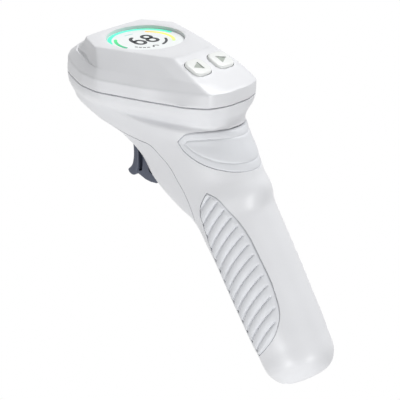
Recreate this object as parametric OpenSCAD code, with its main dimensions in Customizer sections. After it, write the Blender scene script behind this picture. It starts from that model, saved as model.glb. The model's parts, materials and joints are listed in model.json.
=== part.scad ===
// Motorized pipette controller: a pistol-grip body with a round display in a faceted head,
// two arrow buttons, one trigger, and a pump, valves and battery inside.
// Everything is drawn with the display's rim centre as zero (+X rear, +Y the user's right, +Z up)
// and then moved so that the origin is the middle of the pipette socket's mouth.

/* [Head] */
// Length of the head, nose to rear edge
head_l = 86; // [80:1:100]
// Width of the head at its widest
head_w = 62.8; // [58:0.2:76]
// Height of the top cover, display plate to parting line
cover_h = 15.9; // [14:0.1:19]
// Gap of the parting line between top cover and housing
part_gap = 0.3; // [0.2:0.05:0.5]

/* [Walls] */
// Wall thickness of the moulded shells
wall = 2.2; // [1.6:0.1:2.6]
// Depth of the overmoulded soft pads
pad_t = 1.2; // [0.8:0.1:1.5]
// Gap around a pad or a cover that drops into a shell
seat_gap = 0.15; // [0.05:0.05:0.3]

/* [Display] */
// Radius of the display's rim
rim_r = 16.5; // [14:0.1:17.5]
// Depth from the plate to the display glass
rim_depth = 1.3; // [0.8:0.1:1.8]
// Thickness of the display window
lens_t = 0.9; // [0.6:0.1:1.4]
// Thickness of the display module
lcd_t = 2.4; // [1.8:0.1:3]

/* [Buttons] */
// Length and width of a button cap
button_size = 11.2; // [9:0.1:12]
// Distance between the two button centres
button_pitch = 13.2; // [12.6:0.1:15]
// Distance from the display's centre to the buttons
button_x = 37; // [35:0.5:39]
// Height of a cap above the rear slope
button_proud = 1.5; // [0.8:0.1:2]
// Travel of a button
button_travel = 0.8; // [0.4:0.1:1]
// Gap around a cap
button_gap = 0.35; // [0.25:0.05:0.5]

/* [Handle] */
// Lean of the handle from upright
handle_lean = 33.3; // [28:0.1:38]
// Length of the handle below the trigger guard
handle_l = 73.5; // [70:0.5:90]
// Depth of the handle, front to back
handle_d = 36; // [34:0.5:42]
// Width of the handle
handle_w = 31; // [30:0.5:38]

/* [Trigger] */
// Width of the trigger
trigger_w = 13.8; // [10:0.2:14.4]
// Side gap between trigger and front cover
trigger_gap = 0.5; // [0.3:0.05:0.8]
// Pull of the trigger in degrees
trigger_pull = 14; // [8:1:16]
// Radius of the hinge pin
pin_r = 1.5; // [1.2:0.05:1.8]
// Radial play of the pin in its bores
pin_play = 0.05; // [0.02:0.01:0.1]

/* [Pipette socket] */
// Radius of the pipette end that the socket takes
socket_r = 4; // [3:0.1:4.6]
// Depth of the socket
socket_l = 10; // [8:0.5:12]
// Outer radius of the nose collar
collar_r = 9; // [8.4:0.1:10]
// Forward lean of the socket
socket_lean = 20; // [10:1:24]
// Radius of the filter disc
filter_r = 11; // [9:0.5:12]

/* [Inside] */
// Radius of the battery cell
cell_r = 9.1; // [8:0.1:9.5]
// Length of the battery cell
cell_l = 50; // [44:0.5:56]
// Radius of the pump motor
motor_r = 8; // [6:0.5:9]
// Length of the pump motor
motor_l = 19; // [14:0.5:21]
// Thickness of a circuit board
board_t = 1.6; // [1:0.2:2]
// Gap between an inner part and what holds it
slip = 0.2; // [0.1:0.05:0.3]

/* [Hidden] */
$fn = 48;

over = 1;                       // overrun of a cut past the face it opens
kx = head_l/86;                 // stretch of the head's outlines along X
ky = head_w/62.8;               // stretch of the head's outlines along Y
kz = cover_h/15.9;              // stretch of the top cover along Z

// ---- outlines of the head: one side, nose to rear, as [x, y, z] for a head of 86 by 62.8 ----
plate_side = [[-19.9, 5, 0], [-19.7, 11, 0], [-19.2, 16.3, 0], [-14.5, 19, 0], [-10, 21.2, 0],
              [-6.4, 23.1, 0], [8, 18.8, 0], [19, 15.2, 0], [28.3, 11.8, 0], [29, 5, 0]];
crease_side = [[-27.5, 6, -5.3], [-27, 13, -5.4], [-23.4, 18, -6.4], [-18, 20.5, -6.8], [-8, 25.6, -6.9],
               [0, 28, -7], [22, 22.3, -6.8], [36, 17.2, -6], [45, 14.2, -7], [46.5, 5, -7.4]];
skirt_side = [[-31.8, 6, -8.4], [-31, 14.5, -8.6], [-27.3, 19.8, -9.6], [-20.3, 23.9, -10.2],
              [-9, 29.4, -10.2], [2, 31.4, -10.2], [23.2, 25.7, -10.2], [42.5, 17.9, -10.2],
              [50.7, 14.3, -10.2], [53.3, 6, -10.2]];
part_side = [[-32.3, 6, -15.9], [-31.5, 14.5, -15.9], [-28, 19.8, -15.9], [-20.9, 23.9, -15.9],
             [-9.5, 29.2, -15.9], [2, 30.8, -15.9], [23.3, 25.3, -15.9], [42.4, 19.6, -15.9],
             [50.6, 14.2, -15.9], [53.7, 6, -15.9]];
side_n = len(plate_side);

// A whole ring from one side, anticlockwise from the rear
function both(side) = [for (i = [side_n - 1:-1:0]) [side[i].x*kx, side[i].y*ky, side[i].z*kz],
                       for (i = [0:side_n - 1]) [side[i].x*kx, -side[i].y*ky, side[i].z*kz]];
function unit2(v) = v/norm(v);
function left(v) = [-v.y, v.x];
function flat(p) = [p.x, p.y];
// The same ring drawn in by d, at the height dz above its own
function inset(ring, d, dz = 0) = [for (i = [0:len(ring) - 1])
    let (n = len(ring), p = ring[i],
         a = left(unit2(flat(p) - flat(ring[(i + n - 1)%n]))),
         b = left(unit2(flat(ring[(i + 1)%n]) - flat(p))),
         s = a + b, k = 2*d/(s*s))
    [p.x + s.x*k, p.y + s.y*k, p.z + dz]];
// The parting ring drawn in by different amounts at the nose, sides and rear, at height z;
// the sides are drawn in less towards the nose
function squeeze(nose, side, rear, z) = [for (p = both(part_side))
    let (f = p.x/(32.3*kx), q = 1 + 0.7*min(f, 0))
    [p.x < 0 ? p.x*(1 - nose/(32.3*kx)) : p.x*(1 - rear/(53.7*kx)), p.y*(1 - side*q/(head_w/2)), z]];
function bend(v, e) = sign(v)*pow(abs(v), 2/e);
// A leaning oval ring between a front and a rear point [x, z], half width b, drawn in by d;
// e is 2 for an ellipse and more for a squarer front
function oval(f, r, b, d = 0, e = 2) = let (m = (f + r)/2, a = norm(r - f)/2, u = (r - f)/(2*a))
    [for (i = [0:2*side_n - 1])
        let (t = 180/side_n*(i + 0.5), k = cos(t) < 0 ? e : 2, c = (a - d)*bend(cos(t), k))
        [m.x + u.x*c, (b - d)*bend(sin(t), k), m.y + u.y*c]];

// A closed body through a list of rings, from the top down
module loft(rings) {
    n = len(rings[0]);
    m = len(rings);
    polyhedron(points = [for (r = rings) each r],
               faces = [[for (i = [n - 1:-1:0]) i],
                        for (k = [0:m - 2], i = [0:n - 1])
                            let (j = (i + 1)%n, a = k*n)
                            each [[a + i, a + j, a + n + j], [a + i, a + n + j, a + n + i]],
                        [for (i = [0:n - 1]) (m - 1)*n + i]]);
}

// ---- handle: s runs down its axis from the middle of its top, n across it towards the back ----
axis_top = [52.8*kx, -65.7];
down = [sin(handle_lean), -cos(handle_lean)];
back = [cos(handle_lean), sin(handle_lean)];
function at_handle(s, n = 0) = axis_top + down*s + back*n;
// Places what is drawn along +Z onto the handle's axis, standing up from s mm down it
module on_handle(s, n = 0) {
    p = at_handle(s, n);
    translate([p.x, 0, p.y]) rotate([0, -handle_lean, 0]) children();
}
function handle_ring(s, d, shrink = 0) =
    oval(at_handle(s, shrink - handle_d/2), at_handle(s, handle_d/2 - shrink),
         handle_w/2 - shrink*handle_w/handle_d, d);

// ---- body below the parting line: front points, rear points and half widths, top to bottom ----
part_z = -cover_h;
neck = [[[-31.5, -29.5], [54.6, -28], 20.5, 3.4], [[-22.7, -34.5], [57, -32], 18.8, 3.4],
        [[-7.8, -39.5], [59.6, -36], 17.5, 3.1], [[3, -47.5], [61.6, -40], 16.6, 2.6],
        [[8.8, -57.5], [64.2, -44.5], 16, 2.2], [[24, -68], [67.8, -50], 15.7, 2],
        [[34, -72], [68.7, -56.5], 15.6, 2]];
function stretch(p) = [p.x*kx, p.y];
// Rings of the body drawn in by d: 0 gives the outside
function body_rings(d) = concat(
    [inset(squeeze(0, 0, 0, part_z - part_gap), d, d > 0 ? over : 0),
     inset(squeeze(0.4, 1.2, 1.2, part_z - 4), d),
     inset(squeeze(1.1, 4.6, 2.4, part_z - 6.8), d),
     inset(squeeze(1.8, 8, 2.6, part_z - 9), d)],
    [for (r = neck) oval(stretch(r[0]), stretch(r[1]), r[2] + (handle_w - 31)/2, d, r[3])],
    [for (r = [[6, 0], [handle_l*0.48, 0.5], [handle_l*0.78, 1.3]]) handle_ring(r[0], d, r[1])],
    d > 0 ? [handle_ring(handle_l - 6.5, d, 2.6), handle_ring(handle_l - 2.2, d, 5)]
          : [handle_ring(handle_l - 6.5, 0, 2.6), handle_ring(handle_l - 2.6, 0, 5.5),
             handle_ring(handle_l - 0.7, 0, 9.5), handle_ring(handle_l, 0, 14)]);
module body(d) { loft(body_rings(d)); }

// ---- rear slope that carries the buttons ----
slope_top = [28.3*kx, 0];
slope_end = [53.3*kx, -10.2*kz];
slope_lean = atan2(-slope_end.y, slope_end.x - slope_top.x);
module on_slope(y) {
    run = button_x - slope_top.x;
    translate([button_x, y, -run*tan(slope_lean)]) rotate([0, slope_lean, 0]) children();
}
// A rounded square plate, bottom at z
module cap(size, r, z, h) {
    translate([0, 0, z]) linear_extrude(h) hull() for (x = [-1, 1], y = [-1, 1])
        translate([x*(size/2 - r), y*(size/2 - r)]) circle(r, $fn = 24);
}
button_y = button_pitch/2;
cap_corner = 2.8;                                // corner radius of a button cap
cap_drop = 0.3;                                  // gap between a button's flange and the cover
flange_t = 0.8;                                  // thickness of a button's flange
flange_w = 1.2;                                  // how far a button's flange reaches under the cover
switch_z = -(wall + flange_t + 1.2 + button_travel);     // top of a switch's plunger, below the slope
switch_w = 6;
switch_h = 3.4;
switch_floor = 0.6;                              // floor of a switch, under its plunger's bore
plunger_h = 1.6;
plunger_seat = 0.4;                              // how much of a plunger stays in its bore
board_top = switch_z - plunger_h - switch_h + switch_floor;
cap_hole = button_size + 2*button_gap;           // hole that a cap moves in
flange_x = cap_hole + 2*flange_w;                // pocket for the flanges, along and across the slope
pocket_w = button_pitch + cap_hole;
pedestal_t = 0.9;                                // wall of the raised seat round a button
boss_r = 1.8;                                    // bosses that the button board is fixed to
boss_x = flange_x/2 + boss_r + 0.25;
plunger_r = 1.6;

// ---- screws that hold the top cover, as [x, y] on one side ----
post_at = [[-14*kx, 16.2*ky], [20*kx, 16.5*ky]];
post_r = 2.8;                                    // radius of the cover's posts
screw_r = 1.2;                                   // radius of a screw's shank
head_r = 2.1;                                    // radius of a screw's head
head_t = 1.3;                                    // thickness of a screw's head
lug_t = 2;                                       // thickness of the housing's lugs
lug_z = part_z - 3.6;                            // top of the lugs
rim_wall = 1.4;                                  // wall round the display
ledge_t = 1;                                     // ledge that the window rests on
ledge_w = 1.3;                                   // width of that ledge

module mirrored() { children(); mirror([0, 1, 0]) children(); }

module top_cover() {
    color("whitesmoke") {
        difference() {
            union() {
                difference() {
                    loft([both(plate_side), both(crease_side), both(skirt_side), both(part_side)]);
                    loft([inset(both(plate_side), wall, -wall), inset(both(crease_side), wall, -wall/3),
                          inset(both(skirt_side), wall), inset(both(part_side), wall, -over)]);
                }
                translate([0, 0, ledge_z]) cylinder(r = rim_r + rim_wall, h = rim_depth + lens_t);
                for (y = [-button_y, button_y]) on_slope(y)
                    cap(cap_hole + 2*pedestal_t, cap_corner + 0.8, -wall - 2, wall + 2);
            }
            translate([0, 0, -rim_depth - lens_t]) cylinder(r = rim_r, h = rim_depth + lens_t + over);
            translate([0, 0, -20]) cylinder(r = rim_r - ledge_w, h = 21);
            for (y = [-button_y, button_y]) on_slope(y) cap(cap_hole, cap_corner + 0.2, -6, 10);
            on_slope(0) translate([-flange_x/2, -pocket_w/2, -8])
                cube([flange_x, pocket_w, 8 - wall - seat_gap]);
        }
        for (x = [-boss_x, boss_x]) on_slope(0) translate([x, 0, board_top])
            cylinder(r = boss_r, h = -board_top - wall/2);
        mirrored() for (p = post_at) difference() {
            intersection() {
                loft([both(plate_side), both(crease_side), both(skirt_side), inset(both(part_side), 0, -9)]);
                translate([p.x, p.y, lug_z + seat_gap]) cylinder(r = post_r, h = 20);
            }
            translate([p.x, p.y, lug_z - over]) cylinder(r = screw_r + pin_play, h = 9);
        }
    }
}

module display_lens() {
    color([0.9, 0.95, 0.98, 0.5]) translate([0, 0, -rim_depth - lens_t])
        cylinder(r = rim_r - seat_gap, h = lens_t);
}
lcd_r = rim_r - 0.2;
ledge_z = -rim_depth - lens_t - ledge_t;
module display_module() {
    color("darkslategray") translate([0, 0, ledge_z - lcd_t]) cylinder(r = lcd_r, h = lcd_t);
}
frame_t = 1.2;
module display_frame() {
    color("dimgray") difference() {
        translate([0, 0, ledge_z - lcd_t - frame_t]) cylinder(r = rim_r + rim_wall, h = lcd_t + frame_t);
        translate([0, 0, ledge_z - lcd_t]) cylinder(r = lcd_r + slip, h = lcd_t + over);
        translate([0, 0, -20]) cylinder(r = 8, h = 20);
    }
}

module button(side) {
    color("whitesmoke") on_slope(side*button_y) {
        cap(button_size, cap_corner, -wall - cap_drop, wall + cap_drop + button_proud);
        translate([-button_size/2 - flange_w, -button_size/2, -wall - cap_drop - flange_t])
            cube([button_size + 2*flange_w, button_size, flange_t]);
        translate([0, 0, switch_z]) cylinder(r = 2, h = -wall - cap_drop - flange_t - switch_z);
    }
}
module button_left() { button(-1); }
module button_right() { button(1); }
module plunger(side) {
    reach = plunger_h + button_travel + plunger_seat;
    color("black") on_slope(side*button_y) translate([0, 0, switch_z - reach])
        cylinder(r = plunger_r, h = reach);
}
module plunger_left() { plunger(-1); }
module plunger_right() { plunger(1); }
module tact_switches() {
    color("silver") for (side = [-1, 1]) on_slope(side*button_y) difference() {
        translate([-switch_w/2, -switch_w/2, board_top]) cube([switch_w, switch_w, switch_h]);
        translate([0, 0, board_top + switch_floor]) cylinder(r = plunger_r + pin_play, h = switch_h);
    }
}
module button_board() {
    l = 2*(boss_x + boss_r);
    color("green") on_slope(0) translate([-l/2, -button_pitch + 1, board_top - board_t])
        cube([l, 2*button_pitch - 2, board_t]);
}

// ---- main board across the head, under the display ----
board_z = ledge_z - lcd_t - frame_t - 0.3 - board_t;
board_x = [-15*kx, 22*kx];
board_w = 24*ky;
module main_board() {
    color("green") translate([board_x[0], -board_w/2, board_z])
        cube([board_x[1] - board_x[0], board_w, board_t]);
}
module board_chips() {
    // each chip as [place on the board, size]: a controller, a driver, a regulator and four small ones
    chips = [[[-7, -4], [8, 8, 1.1]], [[10, -9], [5, 6, 1.4]], [[10, 4], [7, 5, 2.2]],
             for (i = [0:3]) [[-10 + 3*i, 9], [1.6, 1, 0.8]]];
    color("black") for (c = chips) translate([c[0].x, c[0].y, board_z - c[1].z]) cube(c[1]);
}

module cover_screws() {
    color("silver") mirrored() for (p = post_at) translate([p.x, p.y, lug_z - lug_t]) {
        translate([0, 0, -head_t]) cylinder(r = head_r, h = head_t);
        translate([0, 0, -0.5]) cylinder(r = screw_r, h = 8.4);
    }
}

// ---- seam of the front cover, as [x, z], nose to handle and back round the front ----
seam = [[-40, -26.5], [-25, -30.5], [-10, -35], [3, -37.4], [13, -38.2], [19.9, -38.9], [24.1, -41.7],
        [29.4, -45.6], [33.8, -51.1], [37.5, -55.7], [40, -60.5], [41, -65], [39.5, -70], [34, -76],
        [20, -80], [20, -95], [-40, -95]];
module front_region(grow) {
    rotate([90, 0, 0]) linear_extrude(80, center = true)
        offset(delta = grow) polygon([for (p = seam) [p.x*kx, p.y]]);
}
// Pads: outlines as [x, z] seen from the side
pad_line = [[35, -33.2], [38, -30.3], [46, -26.8], [58, -23.4], [80, -23.4], [80, -42.5], [58, -42.5],
            [50, -41.5], [42, -39], [37, -35.8]];
module pad_region(grow) {
    rotate([90, 0, 0]) linear_extrude(80, center = true)
        offset(delta = grow) polygon([for (p = pad_line) [p.x*kx, p.y]]);
}
leaf = [[-13, 4.5], [-8, -2.5], [2.6, -6.4], [14, -9.4], [30, -9.8], [50, -9.4], [57, -8.6], [55, -0.5],
        [51, 7], [46, 10.8], [35, 13], [20, 13.2], [5.5, 12.4], [-2, 10.6], [-9.4, 8]];
module leaf_region(side, grow) {
    rotate([90, 0, 0]) translate([0, 0, side < 0 ? 4 : -44]) linear_extrude(40)
        offset(delta = grow) polygon([for (p = leaf) at_handle(p[0]*handle_l/73.5, p[1])]);
}

module main_housing() {
    color("whitesmoke") difference() {
        union() {
            difference() {
                body(0);
                body(wall);
            }
            intersection() {
                body(0);
                mirrored() for (p = post_at) {
                    translate([p.x, p.y, lug_z - lug_t]) cylinder(r = post_r + 0.6, h = lug_t);
                    translate([p.x - 2, p.y, lug_z - lug_t]) cube([4, 12, lug_t]);
                }
            }
        }
        mirrored() for (p = post_at) translate([p.x, p.y, lug_z - lug_t - over])
            cylinder(r = screw_r + 0.3, h = lug_t + 2*over);
        front_region(seat_gap);
        difference() {
            union() {
                pad_region(seat_gap);
                leaf_region(-1, seat_gap);
                leaf_region(1, seat_gap);
            }
            body(pad_t + seat_gap);
        }
        socket_cut();
        port_cut();
    }
}
slot_x = [-30, 17.5];             // slot for the trigger, front and rear
slot_z = [-68, -42];            // and its bottom and top
module front_cover() {
    slot_w = trigger_w + 2*trigger_gap;
    color("whitesmoke") difference() {
        union() {
            intersection() {
                difference() {
                    body(0);
                    body(wall);
                }
                front_region(-seat_gap);
            }
            intersection() {
                body(wall - over);
                mirrored() translate([pivot.x, slot_w/2, pivot.y]) rotate([-90, 0, 0])
                    cylinder(r = pin_r + 1.8, h = 20);
            }
        }
        translate([slot_x[0], -slot_w/2, slot_z[0]])
            cube([slot_x[1] - slot_x[0], slot_w, slot_z[1] - slot_z[0]]);
        translate([pivot.x, 0, pivot.y]) rotate([90, 0, 0])
            cylinder(r = pin_r + pin_play, h = 2*pin_half + 0.6, center = true);
        socket_place() cylinder(r = collar_r + seat_gap, h = 60, center = true);
    }
}
module thumb_pad() {
    color("gainsboro") intersection() {
        difference() {
            body(0);
            body(pad_t);
        }
        pad_region(0);
    }
}
module grip(side) {
    color("gainsboro") intersection() {
        difference() {
            body(0);
            body(pad_t);
        }
        leaf_region(side, 0);
    }
}
module grip_left() { grip(-1); }
module grip_right() { grip(1); }

// ---- trigger: hinge at pivot, plate in front, web behind ----
pivot = [10, -43];
pin_half = 11;                  // half the length of the hinge pin
web_t = 2;                      // thickness of each web
barrel_r = 3.2;                 // barrel round the pin
magnet_at = [9, -55.5];
magnet_r = 1.5;
magnet_wall = 1;                // wall of the magnet's sleeve
module trigger() {
    face = [[1.1, -44.1], [-2, -43.6], [-1.6, -47.5], [-1.7, -52.7], [-2.7, -56.2], [-5.3, -59],
            [-4.2, -60.3], [-1.4, -60.9], [0.1, -58.8], [1.3, -50.9]];
    web = [[0.6, -45], [-0.3, -59.4], [4.9, -61.1], [8, -61.5], [11.5, -61.2], [15, -57], [13.2, -44],
           [10, -41.6], [6, -42.4]];
    color([0.27, 0.3, 0.36]) difference() {
        union() {
            rotate([90, 0, 0]) linear_extrude(trigger_w, center = true) polygon(face);
            mirrored() translate([0, trigger_w/2, 0]) rotate([90, 0, 0]) linear_extrude(web_t) polygon(web);
            mirrored() translate([pivot.x, trigger_w/2, pivot.y]) rotate([90, 0, 0])
                cylinder(r = barrel_r, h = trigger_w/2 - 3);
            translate([magnet_at.x, 0, magnet_at.y]) rotate([90, 0, 0])
                cylinder(r = magnet_r + 0.1 + magnet_wall, h = trigger_w - 1, center = true);
        }
        translate([pivot.x, 0, pivot.y]) rotate([90, 0, 0])
            cylinder(r = pin_r + pin_play, h = 40, center = true);
        translate([magnet_at.x, 0, magnet_at.y]) rotate([90, 0, 0])
            cylinder(r = magnet_r + 0.1, h = trigger_w + 2, center = true);
    }
}
module trigger_pin() {
    color("silver") translate([pivot.x, 0, pivot.y]) rotate([90, 0, 0])
        cylinder(r = pin_r, h = 2*pin_half, center = true);
}
// A coil about Z from z0 up, with a straight leg off each end
module coil(r, wire, pitch, turns, leg) {
    steps = 16*turns;
    function ring(a, z, t) = [for (q = [0:45:315]) let (w = r + wire*cos(q))
        [w*cos(a) - t*sin(a), w*sin(a) + t*cos(a), z + wire*sin(q)]];
    loft([for (i = [-1:steps + 1]) let (k = min(max(i, 0), steps))
        ring(22.5*k, pitch*k/16, i < 0 ? -leg : i > steps ? leg : 0)]);
}
module trigger_spring() {
    wire = 0.4;
    turns = 4.5;
    pitch = 0.95;
    color("silver") translate([pivot.x, turns*pitch/2, pivot.y]) rotate([90, 0, 0])
        coil(pin_r + 0.9, wire, pitch, turns, 6.5);
}
module trigger_magnet() {
    color("silver") translate([magnet_at.x, 0, magnet_at.y]) rotate([90, 0, 0])
        cylinder(r = magnet_r, h = trigger_w - 2, center = true);
}
sensor_at = [25.5, -60];          // lower end of the sensor board, behind the magnet
module sensor_board() {
    color("green") intersection() {
        translate([sensor_at.x, -20, sensor_at.y]) rotate([0, -25, 0]) cube([board_t, 40, 11]);
        body(wall + 0.3);
    }
}

// ---- nose: drawn from the socket's mouth up its own axis ----
mouth = [-20, -37.5];
module socket_place() {
    translate([mouth.x, 0, mouth.y]) rotate([0, socket_lean, 0]) children();
}
collar_l = 12;                  // length of the nose collar
adaptor_l = socket_l + 4;       // length of the silicone adaptor
adaptor_r = socket_r + 2.5;     // outer radius of the adaptor
lead_in = 0.6;                  // chamfer at the socket's mouth
duct_r = 1.5;                   // radius of the air duct behind the socket
cup_z = adaptor_l + 2;          // floor of the filter cup, up the socket's axis
cup_wall = 1.4;                 // wall of the filter cup
cup_h = 3.3;                    // height of the cup's rim above its floor
disc_t = 0.8;                   // thickness of the filter disc
cap_t = 1.6;                    // thickness of the filter cap's flange
nipple_l = 2.2;                 // length of the hose nipple on the cap
cup_floor = 1.7;                // floor of the filter cup
module socket_cut() {
    socket_place() translate([0, 0, -20]) cylinder(r = collar_r + seat_gap, h = 20 + adaptor_l + over);
}
module nose_collar() {
    color("lightsteelblue") socket_place() difference() {
        cylinder(r = collar_r, h = collar_l);
        translate([0, 0, -over]) cylinder(r = adaptor_r + slip, h = collar_l + 2*over);
    }
}
module pipette_adaptor() {
    color("ivory") socket_place() difference() {
        cylinder(r = adaptor_r, h = adaptor_l);
        translate([0, 0, -over]) cylinder(r = socket_r, h = socket_l + over);
        translate([0, 0, -over]) cylinder(r1 = socket_r + lead_in + over, r2 = socket_r, h = lead_in + over);
        cylinder(r = duct_r, h = adaptor_l + over);
    }
}
module filter_cup() {
    color("white") socket_place() difference() {
        translate([0, 0, cup_z - cup_floor]) cylinder(r = filter_r + cup_wall, h = cup_floor + cup_h);
        translate([0, 0, cup_z]) cylinder(r = filter_r + slip, h = cup_h + over);
        translate([0, 0, cup_z - cup_floor - over]) cylinder(r = duct_r, h = cup_floor + 2*over);
    }
}
module filter_disc() {
    color("white") socket_place() translate([0, 0, cup_z + 0.1]) cylinder(r = filter_r, h = disc_t);
}
module filter_cap() {
    color("white") socket_place() difference() {
        union() {
            translate([0, 0, cup_z + disc_t + slip]) cylinder(r = filter_r, h = cap_t);
            translate([0, 0, cup_z + disc_t + cap_t]) cylinder(r = 2, h = nipple_l);
        }
        cylinder(r = 1, h = 40);
    }
}

// ---- pump in the neck, on the handle's axis above the battery ----
pump_s = -5;                    // lower end of the motor along the handle
pump_n = 2;                     // and how far behind the handle's axis it lies
ring_l = 9;                     // length of the pump's housing ring
shaft_r = 1;
crank_throw = 1.2;
module pump_motor() {
    color("silver") on_handle(pump_s, pump_n) {
        cylinder(r = motor_r, h = motor_l);
        cylinder(r = shaft_r, h = motor_l + 8);
    }
}
module pump_crank() {
    color("goldenrod") on_handle(pump_s, pump_n) difference() {
        union() {
            translate([0, 0, motor_l + 1]) cylinder(r = 3.6, h = 3);
            translate([crank_throw, 0, motor_l + 3.8]) cylinder(r = 2.4, h = 3.4);
        }
        translate([0, 0, motor_l - over]) cylinder(r = shaft_r + 0.02, h = 12);
    }
}
module pump_ring() {
    color("dimgray") on_handle(pump_s, pump_n) difference() {
        translate([0, 0, motor_l + slip]) cylinder(r = motor_r, h = ring_l);
        translate([0, 0, motor_l - over]) cylinder(r = 4.4, h = ring_l + 3);
    }
}
module pump_head() {
    color("dimgray") on_handle(pump_s, pump_n) {
        translate([0, 0, motor_l + 2*slip + ring_l]) {
            cylinder(r = motor_r + 0.8, h = 4);
            translate([4, 0, 3]) cylinder(r = 1.5, h = 4);
        }
    }
}
// ---- valves under the main board: one block with an air port, a valve on each side of it ----
valve_z = -27;
block = [18, 10, 7];            // valve block
block_x = 2;                    // its front
peg_r = 1.8;                    // pegs that hold the block under the main board
valve_w = 9;
module valve_block() {
    color("lightgray") difference() {
        union() {
            translate([block_x, -block.y/2, valve_z - 1]) cube(block);
            for (x = [2.5, 15.5]) translate([block_x + x, 0, valve_z])
                cylinder(r = peg_r, h = board_z - valve_z);
        }
        translate([block_x + block.x/2, 0, valve_z - 3]) cylinder(r = duct_r, h = block.z);
    }
}
module valve(side) {
    color("steelblue") translate([block_x + block.x/2, side*(block.y/2 + slip), valve_z + block.z/2 - 1])
        rotate([-side*90, 0, 0]) {
            translate([-valve_w/2, -valve_w/2, 0]) cube([valve_w, valve_w, 10]);
            translate([0, 0, 9]) cylinder(r = 3.2, h = 2.4);
        }
}
module suction_valve() { valve(-1); }
module blow_valve() { valve(1); }
module pump_tube() {
    tube_l = 6;
    color("ivory") translate([block_x + block.x + slip, 0, valve_z + block.z/2 - 1])
        rotate([0, 90, 0]) difference() {
            cylinder(r = 1.6, h = tube_l);
            translate([0, 0, -over]) cylinder(r = 0.9, h = tube_l + 2*over);
        }
}

// ---- battery and charging in the handle ----
cell_s = 1.5;                   // top of the cell along the handle
contact = [8, 8, 0.4];          // spring contact at each end of the cell
module battery_cell() {
    color("mediumseagreen") on_handle(cell_s + cell_l) {
        cylinder(r = cell_r, h = cell_l - 1);
        cylinder(r = 3, h = cell_l);
    }
}
cradle_r = cell_r + slip + 1.2;
cradle_end = cell_s + cell_l + 1.6;             // lower end along the handle
cradle_l = cradle_end - pump_s + motor_l;       // it runs up past the pump motor
module battery_cradle() {
    color("dimgray") difference() {
        union() {
            on_handle(cradle_end) cylinder(r = cradle_r, h = cradle_l);
            intersection() {
                for (s = [8, cell_l - 4]) on_handle(s) translate([0, -3, 0]) cube([30, 6, 4]);
                body(wall + 0.3);
            }
        }
        on_handle(cell_s + cell_l + 0.6) cylinder(r = cell_r + slip, h = cell_l + 1.2);
        on_handle(pump_s + slip) translate([pump_n, 0, 0]) cylinder(r = motor_r + slip, h = 60);
        on_handle(cradle_end + over) translate([-32.5, -20, 0]) cube([30, 40, cradle_l]);
    }
}
module contact_top() {
    color("silver") on_handle(cell_s - 0.1) translate([-6, -4, 0]) cube(contact);
}
module contact_bottom() {
    color("silver") on_handle(cell_s + cell_l + 0.5) translate([-6, -4, 0]) cube(contact);
}
port_n = -4;                    // how far in front of the handle's axis the charging socket lies
port = [3.2, 9];                // outside of the charging socket, across and along
port_wall = 0.3;
module port_cut() {
    on_handle(handle_l - 0.4, port_n) translate([-port.x/2 - seat_gap, -port.y/2 - seat_gap, -4])
        cube([port.x + 2*seat_gap, port.y + 2*seat_gap, 9]);
}
module charge_board() {
    color("green") on_handle(handle_l - 4.4, port_n) translate([-board_t - port.x/2 - 0.1, -6, 0])
        cube([board_t, 12, 12]);
}
module charge_socket() {
    color("silver") on_handle(handle_l - 0.4, port_n) difference() {
        translate([-port.x/2, -port.y/2, 0]) cube([port.x, port.y, 7.4]);
        translate([port_wall - port.x/2, port_wall - port.y/2, -over])
            cube([port.x - 2*port_wall, port.y - 2*port_wall, 7]);
    }
}

module placed() { translate([-mouth.x, 0, -mouth.y]) children(); }
placed() {
    top_cover();
    display_lens();
    display_module();
    display_frame();
    button_left();
    button_right();
    button_board();
    tact_switches();
    plunger_left();
    plunger_right();
    main_board();
    board_chips();
    cover_screws();
    main_housing();
    front_cover();
    thumb_pad();
    grip_left();
    grip_right();
    trigger();
    trigger_pin();
    trigger_spring();
    trigger_magnet();
    sensor_board();
    pump_motor();
    pump_crank();
    pump_ring();
    pump_head();
    valve_block();
    suction_valve();
    blow_valve();
    filter_cup();
    filter_disc();
    filter_cap();
    nose_collar();
    pipette_adaptor();
    pump_tube();
    battery_cell();
    battery_cradle();
    contact_top();
    contact_bottom();
    charge_board();
    charge_socket();
}
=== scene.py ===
"""Shells, pads, trigger, buttons and lit display of a motorized pipette controller, around its CAD frame."""

import json
import math

import bmesh
import bpy
import numpy as np
from mathutils import Matrix, Vector
from mathutils.bvhtree import BVHTree


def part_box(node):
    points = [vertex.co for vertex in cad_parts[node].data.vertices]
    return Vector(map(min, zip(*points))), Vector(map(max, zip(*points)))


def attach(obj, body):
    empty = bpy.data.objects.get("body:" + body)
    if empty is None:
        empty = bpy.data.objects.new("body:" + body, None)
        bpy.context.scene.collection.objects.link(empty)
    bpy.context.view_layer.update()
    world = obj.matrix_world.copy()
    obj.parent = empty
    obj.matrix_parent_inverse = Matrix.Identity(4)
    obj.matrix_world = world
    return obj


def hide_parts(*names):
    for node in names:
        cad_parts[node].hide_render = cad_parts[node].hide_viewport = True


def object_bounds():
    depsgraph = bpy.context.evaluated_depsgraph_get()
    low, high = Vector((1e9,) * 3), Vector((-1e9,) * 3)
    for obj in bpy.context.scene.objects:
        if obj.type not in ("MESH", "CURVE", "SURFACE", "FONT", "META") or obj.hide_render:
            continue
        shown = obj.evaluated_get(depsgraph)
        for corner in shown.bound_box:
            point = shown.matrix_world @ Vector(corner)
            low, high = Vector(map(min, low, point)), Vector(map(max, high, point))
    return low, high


bl_info = {
    "name": "Pipette Controller",
    "version": (1, 0, 0),
    "blender": (4, 5, 0),
    "location": "View3D > Sidebar > Pipette",
    "description": "Builds the shells, soft pads, trigger, buttons and display of a pipette controller",
    "category": "Object",
}

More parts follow.
